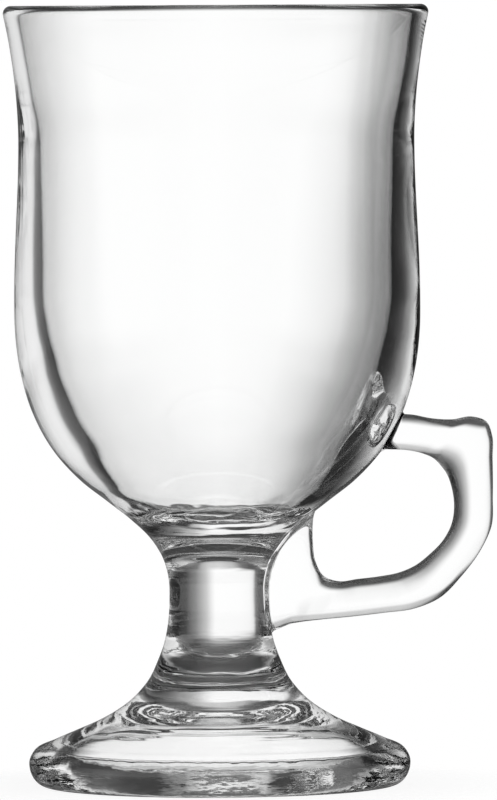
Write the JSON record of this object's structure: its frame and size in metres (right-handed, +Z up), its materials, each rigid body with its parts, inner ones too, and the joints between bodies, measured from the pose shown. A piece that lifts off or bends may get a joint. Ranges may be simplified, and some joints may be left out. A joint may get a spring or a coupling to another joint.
{
  "type": "irish coffee glass mug",
  "caption": "Thick clear glass mug for hot coffee: a flared bowl on a short solid stem and a hollow domed foot, with a closed bar handle.",
  "frame": {"origin": "where the mug's axis meets the table it stands on", "axes": "+Z up along the mug's axis, +X towards the handle, Y across the handle's flat sides"},
  "size_m": [0.0905, 0.079, 0.145],
  "materials": {
    "clear_glass": "polished"
  },
  "bodies": {
    "root": {"bowl": "clear_glass", "stem": "clear_glass", "foot": "clear_glass", "handle": "clear_glass"}
  },
  "joints": []
}
